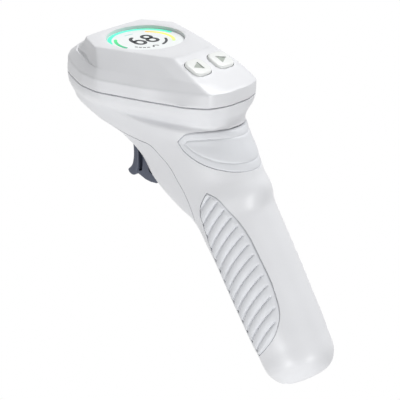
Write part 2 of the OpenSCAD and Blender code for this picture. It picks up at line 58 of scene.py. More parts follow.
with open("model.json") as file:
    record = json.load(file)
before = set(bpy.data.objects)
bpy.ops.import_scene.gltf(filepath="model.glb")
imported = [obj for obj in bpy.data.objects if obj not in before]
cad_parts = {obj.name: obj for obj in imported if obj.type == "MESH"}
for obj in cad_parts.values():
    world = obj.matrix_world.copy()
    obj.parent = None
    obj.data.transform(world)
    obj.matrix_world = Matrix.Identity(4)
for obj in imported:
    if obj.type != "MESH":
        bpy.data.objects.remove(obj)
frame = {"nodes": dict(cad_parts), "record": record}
CAD_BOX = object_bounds()
MM = 0.001
SHELL, TRIGGER = "shell", "trigger_body"
LENS_LOW, LENS_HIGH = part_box("display_lens")
# The display's middle, at the height of the top plate: every outline below is in millimetres from here,
# +X to the rear, +Y to the user's right and +Z up
HEAD = Vector(((LENS_LOW.x + LENS_HIGH.x) / 2, 0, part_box("top_cover")[1].z))


def linear(hex_colour):
    """A colour written as sRGB hex, in linear light."""
    parts = [int(hex_colour[i:i + 2], 16) / 255 for i in (1, 3, 5)]
    return [c / 12.92 if c <= 0.04045 else ((c + 0.055) / 1.055) ** 2.4 for c in parts]


def colour_property(name, description, value):
    return bpy.props.FloatVectorProperty(name=name, description=description, subtype="COLOR", size=3,
                                         min=0, max=1, default=linear(value))


def size_property(name, description, value_mm):
    return bpy.props.FloatProperty(name=name, description=description, default=value_mm * MM, min=0,
                                   unit="LENGTH", precision=5)


class ControllerSizes(bpy.types.PropertyGroup):
    """Sizes of the details that the frame doesn't hold."""
    seam_gap: size_property("Seam gap", "Gap between two moulded shells", 0.32)
    edge_radius: size_property("Edge radius", "Rounding of a shell's rim", 0.5)
    wall: size_property("Wall", "Thickness of the moulded shells", 2.2)
    pad_depth: size_property("Pad depth", "Depth of the seat that a soft pad fills", 1.2)
    rib_pitch: size_property("Rib pitch", "Distance between two grooves of the grip, along the handle", 4.56)
    rib_depth: size_property("Rib depth", "Depth of a groove at the grip's front edge", 1.05)
    arrow_depth: size_property("Arrow depth", "Depth of the arrow sunk in a button", 0.45)


class ControllerColours(bpy.types.PropertyGroup):
    """Colours of the finishes."""
    shell: colour_property("Shell", "Moulded shells", "#E4E5E8")
    pad: colour_property("Pad", "Soft overmoulded pads", "#DFE1E5")
    button: colour_property("Button", "Button caps", "#EEF0EE")
    # The sunk arrows' grey-green, darker than the caps, is painted shade in their recess
    arrow: colour_property("Arrow", "Sunk arrows on the buttons", "#A9B0A8")
    trigger: colour_property("Trigger", "Trigger", "#4A5060")
    ink: colour_property("Ink", "Digits of the display", "#101418")


def sizes():
    return bpy.context.scene.controller_sizes


def colours():
    return bpy.context.scene.controller_colours


# ---------------------------------------------------------------- curves and rings, in millimetres

def through(knots, values, t):
    """A smooth curve through values at knots, read at t: a cubic with tangents from the neighbours."""
    knots, values, t = np.asarray(knots, float), np.asarray(values, float), np.asarray(t, float)
    gaps = np.diff(knots)
    shape = (-1,) + (1,) * (values.ndim - 1)
    slopes = np.diff(values, axis=0) / gaps.reshape(shape)
    tangents = np.empty_like(values)
    tangents[0], tangents[-1] = slopes[0], slopes[-1]
    before, after = gaps[:-1].reshape(shape), gaps[1:].reshape(shape)
    tangents[1:-1] = (slopes[:-1] * after + slopes[1:] * before) / (before + after)
    i = np.clip(np.searchsorted(knots, t, side="right") - 1, 0, len(gaps) - 1)
    h = gaps[i].reshape(shape)
    s = ((t - knots[i]) / gaps[i]).reshape(shape)
    return ((2 * s ** 3 - 3 * s ** 2 + 1) * values[i] + (s ** 3 - 2 * s ** 2 + s) * h * tangents[i]
            + (3 * s ** 2 - 2 * s ** 3) * values[i + 1] + (s ** 3 - s ** 2) * h * tangents[i + 1])


def spline(points, step):
    """Points about step apart on a smooth open curve through points."""
    points = np.asarray(points, float)
    knots = np.concatenate([[0], np.cumsum(np.linalg.norm(np.diff(points, axis=0), axis=1))])
    return through(knots, points, np.linspace(0, knots[-1], max(2, round(knots[-1] / step) + 1)))


def smoothstep(low, high, x):
    t = np.clip((np.asarray(x, float) - low) / (high - low), 0, 1)
    return t * t * (3 - 2 * t)


# One side of the head's outlines, nose to rear, as in the frame: plate, crease, skirt and parting line
PLATE = [(-19.9, 5, 0), (-19.7, 11, 0), (-19.2, 16.3, 0), (-14.5, 19, 0), (-10, 21.2, 0),
         (-6.4, 23.1, 0), (8, 18.8, 0), (19, 15.2, 0), (28.3, 11.8, 0), (29, 5, 0)]
CREASE = [(-27.5, 6, -5.3), (-27, 13, -5.4), (-23.4, 18, -6.4), (-18, 20.5, -6.8), (-8, 25.6, -6.9),
          (0, 28, -7), (22, 22.3, -6.8), (36, 17.2, -6), (45, 14.2, -7), (46.5, 5, -7.4)]
SKIRT = [(-31.8, 6, -8.4), (-31, 14.5, -8.6), (-27.3, 19.8, -9.6), (-20.3, 23.9, -10.2), (-9, 29.4, -10.2),
         (2, 31.4, -10.2), (23.2, 25.7, -10.2), (42.5, 17.9, -10.2), (50.7, 14.3, -10.2), (53.3, 6, -10.2)]
PARTING = [(-32.3, 6, -15.9), (-31.5, 14.5, -15.9), (-28, 19.8, -15.9), (-20.9, 23.9, -15.9),
           (-9.5, 29.2, -15.9), (2, 30.8, -15.9), (23.3, 25.3, -15.9), (42.4, 19.6, -15.9),
           (50.6, 14.2, -15.9), (53.7, 6, -15.9)]
CORNERS = 2 * len(PLATE)
NOSE_X, REAR_X, HALF_WIDTH = 32.3, 53.7, 31.4
PART_Z = PARTING[0][2]
PART_GAP = 0.3


def corners(side):
    """A whole outline from one side, anticlockwise from the rear."""
    side = np.array(side, float)
    return np.concatenate([side[::-1], side * (1, -1, 1)])


def ring_places(spacing):
    """Places round an outline, in corners from 0 to 20, about spacing apart on the parting line."""
    ring = corners(PARTING)
    lengths = np.linalg.norm(np.roll(ring, -1, axis=0) - ring, axis=1)
    return np.concatenate([i + np.arange(n) / n for i, n in
                           enumerate(np.maximum(1, np.round(lengths / spacing)).astype(int))])


PLACES = ring_places(1.0)


def outline(side, rounding):
    """The outline read at every place, its corners rounded by that many passes."""
    ring = corners(side)
    i = PLACES.astype(int)
    part = (PLACES - i)[:, None]
    points = ring[i] * (1 - part) + ring[(i + 1) % CORNERS] * part
    for _ in range(rounding):
        points = (np.roll(points, 1, axis=0) + 2 * points + np.roll(points, -1, axis=0)) / 4
    return points


def drawn_in(ring, depth, z=None):
    """The ring moved inwards in its own plane by depth, at the height z."""
    along = np.roll(ring, -1, axis=0) - np.roll(ring, 1, axis=0)
    inward = np.stack([-along[:, 1], along[:, 0]], axis=1)
    inward /= np.linalg.norm(inward, axis=1)[:, None]
    moved = ring.copy()
    moved[:, :2] += inward * np.reshape(depth, (-1, 1))
    if z is not None:
        moved[:, 2] = z
    return moved


def squeezed(ring, nose, side, rear, z):
    """The parting ring drawn in by different amounts at the nose, sides and rear."""
    x, y = ring[:, 0], ring[:, 1]
    share = np.minimum(x / NOSE_X, 0)
    return np.stack([np.where(x < 0, x * (1 - nose / NOSE_X), x * (1 - rear / REAR_X)),
                     y * (1 - side * (1 + 0.7 * share) / HALF_WIDTH), np.full(len(x), z)], axis=1)


def leaning_oval(front, rear, half_width, squareness=2.0):
    """An oval between a front and a rear point (x, z); squareness above 2 fills its front out."""
    front, rear = np.array(front, float), np.array(rear, float)
    middle, half = (front + rear) / 2, np.linalg.norm(rear - front) / 2
    along = (rear - front) / (2 * half)
    t = 2 * math.pi / CORNERS * (PLACES + 0.5)
    power = np.where(np.cos(t) < 0, 2 / squareness, 1.0)
    reach = half * np.sign(np.cos(t)) * np.abs(np.cos(t)) ** power
    width = half_width * np.sign(np.sin(t)) * np.abs(np.sin(t)) ** power
    return np.stack([middle[0] + along[0] * reach, width, middle[1] + along[1] * reach], axis=1)


# The handle: s runs down its axis from the middle of its top, n across it towards the back
HANDLE_LEAN = math.radians(33.3)
HANDLE_TOP = np.array([52.8, -65.7])
HANDLE_LENGTH, HANDLE_DEPTH, HANDLE_WIDTH = 73.5, 36.0, 31.0
DOWN = np.array([math.sin(HANDLE_LEAN), -math.cos(HANDLE_LEAN)])
BACK = np.array([math.cos(HANDLE_LEAN), math.sin(HANDLE_LEAN)])


def at_handle(s, n=0.0):
    return HANDLE_TOP + np.multiply.outer(s, DOWN) + np.multiply.outer(n, BACK)


def handle_ring(s, shrink):
    half = HANDLE_DEPTH / 2 - shrink
    return leaning_oval(at_handle(s, -half), at_handle(s, half),
                        HANDLE_WIDTH / 2 - shrink * HANDLE_WIDTH / HANDLE_DEPTH)


# Neck rings from the bowl to the handle: front point, rear point, half width and squareness
NECK = [((-31.5, -29.5), (54.6, -28), 20.5, 3.4), ((-22.7, -34.5), (57, -32), 18.8, 3.4),
        ((-7.8, -39.5), (59.6, -36), 17.5, 3.1), ((3, -47.5), (61.6, -40), 16.6, 2.6),
        ((8.8, -57.5), (64.2, -44.5), 16, 2.2), ((24, -68), (67.8, -50), 15.7, 2),
        ((34, -72), (68.7, -56.5), 15.6, 2)]
# How far down the handle each ring lies, and how far it draws in, ending in the rounded foot
HANDLE_RINGS = [(6, 0), (0.48 * HANDLE_LENGTH, 0.5), (0.78 * HANDLE_LENGTH, 1.3), (HANDLE_LENGTH - 6.5, 2.6),
                (HANDLE_LENGTH - 2.6, 5.5), (HANDLE_LENGTH - 0.7, 9.5), (HANDLE_LENGTH, 14)]
PARTING_ROUNDING = 7


def body_rings(step):
    """Rings of the body below the parting line, about step apart, with a rounded rim."""
    rim = outline(PARTING, PARTING_ROUNDING)
    z = PART_Z - PART_GAP
    control = [squeezed(rim, 0, 0, 0, z), squeezed(rim, 0.4, 1.2, 1.2, PART_Z - 4),
               squeezed(rim, 1.1, 4.6, 2.4, PART_Z - 6.8), squeezed(rim, 1.8, 8, 2.6, PART_Z - 9)]
    control += [leaning_oval(*ring) for ring in NECK] + [handle_ring(*ring) for ring in HANDLE_RINGS]
    control = np.array(control)
    gaps = np.linalg.norm(np.diff(control, axis=0), axis=2).mean(axis=1)
    knots = np.concatenate([[0], np.cumsum(gaps)])
    radius = sizes().edge_radius / MM
    reach = np.concatenate([[radius], np.linspace(radius, knots[-1], round(knots[-1] / step))[1:]])
    rings = through(knots, control, reach)
    curl = [drawn_in(rim, radius * (1 - math.sin(a)), z - radius * (1 - math.cos(a)))
            for a in (0, math.pi / 6, math.pi / 3)]
    return np.concatenate([curl, rings])


# ---------------------------------------------------------------- meshes

def grid(points, wrap=False):
    """A mesh through a table of points in millimetres; wrap joins its last column to its first."""
    points = np.asarray(points, float)
    if wrap:
        points = np.concatenate([points, points[:, :1]], axis=1)
    rows, columns = points.shape[:2]
    bm = bmesh.new()
    verts = bmesh.ops.create_grid(bm, x_segments=columns - 1, y_segments=rows - 1, size=1)["verts"]
    for vert, point in zip(verts, points.reshape(-1, 3)):
        vert.co = HEAD + Vector(point) * MM
    if wrap:
        bmesh.ops.remove_doubles(bm, verts=bm.verts, dist=0.001 * MM)
    return bm


def closed(bm):
    """The mesh with its open ends filled and its faces turned outwards."""
    bmesh.ops.holes_fill(bm, edges=bm.edges, sides=0)
    bmesh.ops.recalc_face_normals(bm, faces=bm.faces)
    return bm


def drawn_inside(bm, depth):
    """The closed mesh with its surface moved inwards by depth."""
    bm.normal_update()
    for vert, normal in [(v, v.normal.copy()) for v in bm.verts]:
        vert.co -= normal * depth
    return bm


def prism(points, low, high):
    """A side-view outline of (x, z) points carried across from y = low to y = high."""
    bm = bmesh.new()
    face = bm.faces.new([bm.verts.new(HEAD + Vector((x, low, z)) * MM) for x, z in points])
    made = bmesh.ops.extrude_face_region(bm, geom=[face])["geom"]
    bmesh.ops.translate(bm, verts=[g for g in made if isinstance(g, bmesh.types.BMVert)],
                        vec=(0, (high - low) * MM, 0))
    bmesh.ops.recalc_face_normals(bm, faces=bm.faces)
    return bm


def grown(points, distance):
    """A closed outline of (x, z) points moved outwards by distance."""
    points = np.asarray(points, float)
    area = np.sum(points[:, 0] * np.roll(points[:, 1], -1) - np.roll(points[:, 0], -1) * points[:, 1])
    along = np.roll(points, -1, axis=0) - np.roll(points, 1, axis=0)
    out = np.stack([along[:, 1], -along[:, 0]], axis=1) * np.sign(area)
    return points + out / np.linalg.norm(out, axis=1)[:, None] * distance


def round_bar(start, end, radius, segments=48):
    """A cylinder between two points in millimetres."""
    start, end = Vector(start), Vector(end)
    bm = bmesh.new()
    turn = (end - start).to_track_quat("Z", "Y").to_matrix().to_4x4()
    place = Matrix.Translation(HEAD + (start + end) / 2 * MM) @ turn
    bmesh.ops.create_cone(bm, cap_ends=True, segments=segments, radius1=radius * MM, radius2=radius * MM,
                          depth=(end - start).length * MM, matrix=place)
    return bm


def bevelled(bm, edges, offset, segments):
    bmesh.ops.bevel(bm, geom=edges, offset=offset * MM, affect="EDGES", segments=segments, profile=0.5,
                    material=-1)
    return bm


def upright_edges(bm):
    return [e for e in bm.edges if abs(e.verts[0].co.z - e.verts[1].co.z) > 0.1 * MM]


def side_edges(bm):
    """The edges of a prism's two end faces."""
    return [e for e in bm.edges if abs(e.verts[0].co.y - e.verts[1].co.y) < 0.01 * MM]


def rounded_plate(size_x, size_y, radius, low, high, edge=0.0):
    """A plate with rounded corners, and its top edge rounded by edge, at the origin in metres."""
    bm = bmesh.new()
    bmesh.ops.create_cube(bm, size=1, matrix=Matrix.Translation((0, 0, (low + high) / 2 * MM))
                          @ Matrix.Diagonal((size_x * MM, size_y * MM, (high - low) * MM, 1)))
    bevelled(bm, upright_edges(bm), radius, 6)
    if edge:
        top = [e for e in bm.edges if all(v.co.z > (high - 0.001) * MM for v in e.verts)]
        bevelled(bm, top, edge, 4)
    return bm


def new_object(name, bm):
    """A linked object that holds the mesh, which is used up."""
    mesh = bpy.data.meshes.new(name)
    bm.to_mesh(mesh)
    bm.free()
    obj = bpy.data.objects.new(name, mesh)
    bpy.context.scene.collection.objects.link(obj)
    return obj


def combined(base, tool, operation="DIFFERENCE"):
    """The base mesh cut by, joined to or kept inside the tool mesh. Both are used up."""
    for bm in (base, tool):
        bmesh.ops.triangulate(bm, faces=[f for f in bm.faces if len(f.verts) > 4])
    first, second = new_object("part", base), new_object("part", tool)
    modifier = first.modifiers.new("Combine", "BOOLEAN")
    modifier.object, modifier.operation, modifier.solver = second, operation, "MANIFOLD"
    shown = first.evaluated_get(bpy.context.evaluated_depsgraph_get())
    result = bmesh.new()
    result.from_mesh(shown.to_mesh())
    if not result.faces:
        raise RuntimeError("a cut left nothing: one of its meshes is open")
    for obj in (first, second):
        mesh = obj.data
        bpy.data.objects.remove(obj)
        bpy.data.meshes.remove(mesh)
    return result


def merged(*parts):
    """Several meshes that don't touch, as one."""
    whole = bmesh.new()
    for bm in parts:
        mesh = bpy.data.meshes.new("part")
        bm.to_mesh(mesh)
        bm.free()
        whole.from_mesh(mesh)
        bpy.data.meshes.remove(mesh)
    return whole


def finished(name, bm, finish, body=SHELL, nodes=(), crease=35.0):
    """Makes the mesh an object that rides on its body, stands for its CAD nodes and has its finish."""
    bmesh.ops.remove_doubles(bm, verts=bm.verts, dist=0.002 * MM)
    obj = new_object(name, bm)
    obj.data.shade_smooth()
    obj.data.set_sharp_from_angle(angle=math.radians(crease))
    obj.data.materials.append(finish)
    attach(obj, body)
    if nodes:
        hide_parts(*nodes)
    return obj


# ---------------------------------------------------------------- finishes

def add(tree, kind, settings=None, **links):
    """Adds a node, sets its attributes or inputs, and links its inputs to the sockets given."""
    node = tree.nodes.new(kind)
    for key, value in (settings or {}).items():
        if hasattr(node, key):
            setattr(node, key, value)
        else:
            node.inputs[key].default_value = value
    for key, socket in links.items():
        tree.links.new(socket, node.inputs[key.replace("_", " ")])
    return node


def new_finish(name, settings):
    """A material with one Principled shader, and its tree, shader and object coordinates."""
    finish = bpy.data.materials.new(name)
    finish.use_nodes = True
    tree = finish.node_tree
    tree.nodes.clear()
    shader = add(tree, "ShaderNodeBsdfPrincipled", settings)
    add(tree, "ShaderNodeOutputMaterial", Surface=shader.outputs["BSDF"])
    place = add(tree, "ShaderNodeTexCoord").outputs["Object"]
    return finish, tree, shader, place


def seen_white(tree, surface, kind):
    """Shows plain white to the camera, reflections and clear parts, and the surface to other light."""
    rays = add(tree, "ShaderNodeLightPath")
    first = add(tree, "ShaderNodeMath", {"operation": "MAXIMUM"})
    second = add(tree, "ShaderNodeMath", {"operation": "MAXIMUM"})
    tree.links.new(rays.outputs["Is Camera Ray"], first.inputs[0])
    tree.links.new(rays.outputs["Is Glossy Ray"], first.inputs[1])
    tree.links.new(first.outputs["Value"], second.inputs[0])
    tree.links.new(rays.outputs["Is Transmission Ray"], second.inputs[1])
    white = add(tree, kind, {"Color": (1, 1, 1, 1), "Strength": 1.0})
    mix = add(tree, "ShaderNodeMixShader", Fac=second.outputs["Value"])
    tree.links.new(surface, mix.inputs[1])
    tree.links.new(white.outputs[0], mix.inputs[2])
    return mix.outputs["Shader"]


def rgba(colour, share=1.0):
    return [c * share for c in colour[:3]] + [1.0]


def moulded(name, colour, roughness, grain_mm, grain_height_mm):
    """Moulded plastic: colour that drifts a little over the part, and the fine grain of a sparked mould."""
    finish, tree, shader, place = new_finish(name, {"Roughness": roughness, "IOR": 1.5})
    drift = add(tree, "ShaderNodeTexNoise", {"Scale": 1 / (18 * MM), "Detail": 3.0}, Vector=place)
    mix = add(tree, "ShaderNodeValToRGB", Fac=drift.outputs["Fac"])
    mix.color_ramp.elements[0].position, mix.color_ramp.elements[1].position = 0.3, 0.7
    mix.color_ramp.elements[0].color, mix.color_ramp.elements[1].color = rgba(colour, 0.97), rgba(colour)
    tree.links.new(mix.outputs["Color"], shader.inputs["Base Color"])
    grain = add(tree, "ShaderNodeTexNoise", {"Scale": 1 / (grain_mm * MM), "Detail": 2.0}, Vector=place)
    bump = add(tree, "ShaderNodeBump", {"Strength": 0.5, "Distance": grain_height_mm * MM},
               Height=grain.outputs["Fac"])
    tree.links.new(bump.outputs["Normal"], shader.inputs["Normal"])
    spread = add(tree, "ShaderNodeMapRange", {"To Min": roughness - 0.05, "To Max": roughness + 0.05},
                 Value=drift.outputs["Fac"])
    tree.links.new(spread.outputs["Result"], shader.inputs["Roughness"])
    return finish


def metal(name, colour, roughness, streak_mm):
    """Plain metal with the faint streaks of drawing or turning."""
    finish, tree, shader, place = new_finish(name, {"Metallic": 1.0, "Roughness": roughness})
    streak = add(tree, "ShaderNodeTexNoise", {"Scale": 1 / (streak_mm * MM), "Detail": 4.0}, Vector=place)
    mix = add(tree, "ShaderNodeValToRGB", Fac=streak.outputs["Fac"])
    mix.color_ramp.elements[0].color, mix.color_ramp.elements[1].color = rgba(colour, 0.85), rgba(colour)
    tree.links.new(mix.outputs["Color"], shader.inputs["Base Color"])
    return finish


def lit(name, stops, strength):
    """Lit display segments: a colour that runs along the segment's own length."""
    finish, tree, shader, _ = new_finish(name, {"Roughness": 0.5, "Emission Strength": strength})
    along = add(tree, "ShaderNodeUVMap", {"uv_map": "length"})
    parts = add(tree, "ShaderNodeSeparateXYZ", Vector=along.outputs["UV"])
    ramp = add(tree, "ShaderNodeValToRGB", Fac=parts.outputs["X"])
    for i, (position, value) in enumerate(stops):
        elements = ramp.color_ramp.elements
        element = elements[i] if i < 2 else elements.new(position)
        element.position, element.color = position, rgba(linear(value))
    tree.links.new(ramp.outputs["Color"], shader.inputs["Emission Color"])
    tree.links.new(ramp.outputs["Color"], shader.inputs["Base Color"])
    return finish


def kept(name, make, *values):
    """The material of that name, made the first time it is asked for."""
    return bpy.data.materials.get(name) or make(name, *values)


def shell_finish():
    # ABS with a satin sparked texture: soft broad highlights and no mirror edge
    return kept("satin_moulded_abs", moulded, colours().shell, 0.38, 0.5, 0.012)


def pad_finish():
    # Thermoplastic elastomer: a little darker and duller than the ABS beside it
    return kept("soft_touch_elastomer", moulded, colours().pad, 0.5, 0.35, 0.015)


def button_finish():
    # Polished ABS caps: a tighter highlight
    return kept("polished_button_abs", moulded, colours().button, 0.25, 1.0, 0.004)


def trigger_finish():
    # Glass-filled nylon: dark slate with a faint sheen along its edges
    return kept("slate_nylon", moulded, colours().trigger, 0.42, 0.4, 0.02)


def panel_finish():
    # The display's plain face, a smooth white sheet: the segments on it glow, the sheet itself doesn't
    return kept("lit_panel", moulded, linear("#F4F8F8"), 0.3, 1.0, 0.001)


# ---------------------------------------------------------------- body shells

SEAM = [(-40, -26.5), (-25, -30.5), (-10, -35), (3, -37.4), (13, -38.2), (19.9, -38.9), (24.1, -41.7),
        (29.4, -45.6), (33.8, -51.1), (37.5, -55.7), (40, -60.5), (41, -65), (39.5, -70),
        (34, -76), (20, -80)]
SEAM_BELOW = [(20, -95), (-40, -95)]
PAD_REACH = 80.0  # past the back of the neck
PAD_UPPER = [(35, -33.2), (38, -29.8), (46, -27.4), (58, -26.2)]
PAD_LOWER = [(35, -33.2), (37, -35.8), (42, -39), (50, -41.5), (58, -42.5)]
# The grip's front and rear edges, as (s, n) on the handle, from its upper tip to its lower tip
GRIP_FRONT = [(-13, 4.5), (-8, -2.5), (2.6, -6.4), (14, -9.4), (30, -9.8), (50, -9.4), (57, -8.6)]
GRIP_REAR = [(-13, 4.5), (-9.4, 8), (-2, 10.6), (5.5, 12.4), (20, 13.2), (35, 13), (46, 10.8), (51, 7),
             (55, -0.5), (57, -8.6)]
HALF = 40.0  # past the body on both sides
SEAT_CLEARANCE = 0.15  # between a pad and the floor of its seat
PIVOT = (10.0, -43.0)
TRIGGER_WIDTH, TRIGGER_GAP = 13.8, 0.5
SLOT = [(-30, -68), (17.5, -68), (17.5, -42), (-30, -42)]
SOCKET_BAR = (9.15, -12, 15)  # radius, and reach below and above the mouth
SOCKET_MOUTH, SOCKET_LEAN = (-20.0, -37.5), math.radians(20)


def body_solid(step=1.0, depth=0.0, lift=0.0):
    """The closed body, its surface drawn inwards by depth and its top lifted to open a shell."""
    bm = closed(grid(body_rings(step), wrap=True))
    if depth:
        drawn_inside(bm, depth * MM)
    if lift:
        top = max(v.co.z for v in bm.verts)
        for v in bm.verts:
            if v.co.z > top - 0.6 * MM:
                v.co.z += lift * MM
    return bm


def front_region(grow):
    edge = spline(SEAM, 0.8)
    return prism(grown(np.concatenate([edge, SEAM_BELOW]), grow), -HALF, HALF)


def grip_outline():
    front, rear = spline(GRIP_FRONT, 1.0), spline(GRIP_REAR, 1.0)
    around = np.concatenate([front, rear[::-1][1:-1]])
    return at_handle(around[:, 0], around[:, 1])


def pad_outline():
    upper, lower = spline(PAD_UPPER, 0.8), spline(PAD_LOWER, 0.8)
    ends = [(PAD_REACH, PAD_LOWER[-1][1]), (PAD_REACH, PAD_UPPER[-1][1])]
    return np.concatenate([lower, ends, upper[::-1][:-1]])


def socket_bar(radius, low, high):
    lean = np.array([math.sin(SOCKET_LEAN), 0, math.cos(SOCKET_LEAN)])
    mouth = np.array([SOCKET_MOUTH[0], 0, SOCKET_MOUTH[1]])
    return round_bar(mouth + lean * low, mouth + lean * high, radius)


class CONTROLLER_OT_housing(bpy.types.Operator):
    """Main housing: the bowl, neck and handle, with seats for the pads and an opening for the front cover"""
    bl_idname = "controller.housing"
    bl_label = "Main housing"

    def execute(self, context):
        gap = sizes().seam_gap / MM
        wall, pad = sizes().wall / MM, sizes().pad_depth / MM
        shell = combined(body_solid(), body_solid(2.0, wall, 1.5))
        shell = combined(shell, front_region(gap))
        seats = [prism(grown(pad_outline(), gap / 2), -HALF, HALF)]
        for side in (-1, 1):
            low, high = sorted((side * 4.0, side * HALF))
            seats.append(prism(grown(grip_outline(), gap / 2), low, high))
        for seat in seats:
            shell = combined(shell, combined(seat, body_solid(2.0, pad)))
        shell = combined(shell, socket_bar(*SOCKET_BAR))
        finished("main_housing_shell", shell, shell_finish(), nodes=["main_housing"])
        return {"FINISHED"}


class CONTROLLER_OT_front_cover(bpy.types.Operator):
    """Front cover: the lower jaw round the trigger, with its slot and the socket's round cut"""
    bl_idname = "controller.front_cover"
    bl_label = "Front cover"

    def execute(self, context):
        cover = combined(body_solid(), body_solid(2.0, sizes().wall / MM))
        cover = combined(cover, front_region(0), "INTERSECT")
        slot = TRIGGER_WIDTH / 2 + TRIGGER_GAP
        cover = combined(cover, prism(SLOT, -slot, slot))
        cover = combined(cover, socket_bar(*SOCKET_BAR))
        finished("front_cover_shell", cover, shell_finish(), nodes=["front_cover"])
        return {"FINISHED"}


# ---------------------------------------------------------------- soft pads

def body_tree():
    bm = body_solid(1.0)
    tree = BVHTree.FromBMesh(bm)
    bm.free()
    return tree


def on_body(tree, start, direction):
    """Where a ray from inside the body leaves it, and the way out there; places in millimetres."""
    hit, normal, _, _ = tree.ray_cast(HEAD + Vector(start) * MM, Vector(direction))
    if hit is None:
        raise RuntimeError(f"no body surface from {start} towards {direction}")
    return np.array((hit - HEAD) / MM), np.array(normal)


def skin(points, normals, heights, depth):
    """A pad: a top surface raised by heights, which roll its rim down, and an underside that follows it
    depth below.
    """
    rows, columns = heights.shape
    top = points + normals * heights[..., None]
    bm = grid(top)
    bmesh.ops.remove_doubles(bm, verts=bm.verts, dist=0.05 * MM)
    bmesh.ops.recalc_face_normals(bm, faces=bm.faces)
    bm.normal_update()
    middle = Vector(normals[rows // 2, columns // 2])
    if sum((f.normal for f in bm.faces), Vector()).dot(middle) < 0:
        bmesh.ops.reverse_faces(bm, faces=bm.faces)
    made = bmesh.ops.solidify(bm, geom=bm.faces[:], thickness=depth * MM)
    bmesh.ops.recalc_face_normals(bm, faces=bm.faces)
    return bm


class CONTROLLER_OT_thumb_pad(bpy.types.Operator):
    """Thumb pad: a soft saddle round the back of the neck, with a raised panel inside its border"""
    bl_idname = "controller.thumb_pad"
    bl_label = "Thumb pad"

    def execute(self, context):
        tree = body_tree()
        upper, lower = spline(PAD_UPPER, 0.4), spline(PAD_LOWER, 0.4)
        origin_x = PAD_UPPER[0][0]
        turns = np.radians(np.linspace(-89.2, 89.2, 181))
        across = np.linspace(0, 1, 41)
        points = np.zeros((len(across), len(turns), 3))
        normals = np.zeros_like(points)
        heights = np.zeros(points.shape[:2])
        for j, turn in enumerate(turns):
            x = origin_x + 0.3
            for i, share in enumerate(across):
                for _ in range(3):
                    low = np.interp(x, lower[:, 0], lower[:, 1])
                    high = np.interp(x, upper[:, 0], upper[:, 1])
                    z = low + share * (high - low)
                    point, normal = on_body(tree, (origin_x, 0, z), (math.cos(turn), math.sin(turn), 0))
                    x = max(point[0], origin_x + 0.05)
                points[i, j], normals[i, j] = point, normal
                from_tip = (x - origin_x) * 0.9 + 0.2
                edge = min(share * (high - low), (1 - share) * (high - low), from_tip)
                heights[i, j] = pad_height(edge)
        pad = skin(points, normals, heights, sizes().pad_depth / MM - SEAT_CLEARANCE)
        finished("thumb_pad_skin", pad, pad_finish(), nodes=["thumb_pad"], crease=50)
        return {"FINISHED"}


def pad_height(edge):
    """Height of the thumb pad over the body, by the distance from its edge: a rolled rim, then a panel."""
    roll = -0.45 * (1 - smoothstep(0, 0.6, edge))
    groove = -0.3 * np.exp(-((edge - 3.2) / 0.35) ** 2)
    return float(roll + groove + 0.12 * smoothstep(3.2, 3.9, edge))


class CONTROLLER_OT_grips(bpy.types.Operator):
    """Grips: a leaf of soft rubber on each side of the handle, with slanting grooves"""
    bl_idname = "controller.grips"
    bl_label = "Ribbed grips"

    def execute(self, context):
        tree = body_tree()
        pitch, depth = sizes().rib_pitch / MM, sizes().rib_depth / MM
        along = np.linspace(0, 1, 440)
        front, rear = (through(np.linspace(0, 1, len(line)), line, along)
                       for line in (spline(GRIP_FRONT, 0.5), spline(GRIP_REAR, 0.5)))
        share = np.linspace(0, 1, 60)[None, :, None]
        places = front[:, None] * (1 - share) + rear[:, None] * share
        width = np.linalg.norm(rear - front, axis=1)[:, None]
        side_gap = np.minimum(share[..., 0], 1 - share[..., 0]) * width
        s, n = places[..., 0], places[..., 1]
        phase = (s + 0.48 * n + 8.7) / pitch
        from_groove = np.abs(phase - np.round(phase)) * pitch
        deep = depth * (0.7 + 0.3 * smoothstep(4, -9, n))
        groove = -deep * np.exp(-(from_groove / 0.36) ** 2) + 0.3 * (1 - np.exp(-(from_groove / 1.3) ** 2))
        front_gap, rear_gap = share[..., 0] * width, (1 - share[..., 0]) * width
        inside = smoothstep(0.1, 0.5, front_gap) * smoothstep(0.9, 1.9, rear_gap)
        roll = -0.5 * (1 - smoothstep(0, 0.6, side_gap))
        heights = roll + groove * inside
        plane = at_handle(s.ravel(), n.ravel()).reshape(s.shape + (2,))
        for side, name in ((-1, "grip_left"), (1, "grip_right")):
            points, normals = np.zeros(s.shape + (3,)), np.zeros(s.shape + (3,))
            for i in range(s.shape[0]):
                for j in range(s.shape[1]):
                    start = (plane[i, j, 0], 0, plane[i, j, 1])
                    points[i, j], normals[i, j] = on_body(tree, start, (0, side, 0))
            grip = skin(points, normals, heights, sizes().pad_depth / MM - SEAT_CLEARANCE)
            finished(name + "_skin", grip, pad_finish(), nodes=[name], crease=60)
        return {"FINISHED"}


# ---------------------------------------------------------------- head

RIM_RADIUS, RIM_DEPTH, LENS_THICKNESS, LEDGE_RADIUS = 16.5, 1.3, 0.9, 15.2
SLOPE_TOP, SLOPE_END = (28.3, 0.0), (53.3, -10.2)
SLOPE_LEAN = math.atan2(SLOPE_TOP[1] - SLOPE_END[1], SLOPE_END[0] - SLOPE_TOP[0])
BUTTON_X, BUTTON_Y, BUTTON_SIZE, BUTTON_PROUD, BUTTON_GAP = 37.0, 6.6, 9.8, 1.3, 0.3
BUTTON_CORNER = 3.2
# The scooped corners of the nose: where, how wide, how far the foot and lip move, how deep the scoop is
SCOOP_X, SCOOP_Y, SCOOP_WIDTH = -16, 21.5, 11
SCOOP_FOOT, SCOOP_LIP, SCOOP_DEPTH = 0.7, 0.5, 0.35


def between(first, second, share):
    return first * (1 - share) + second * share


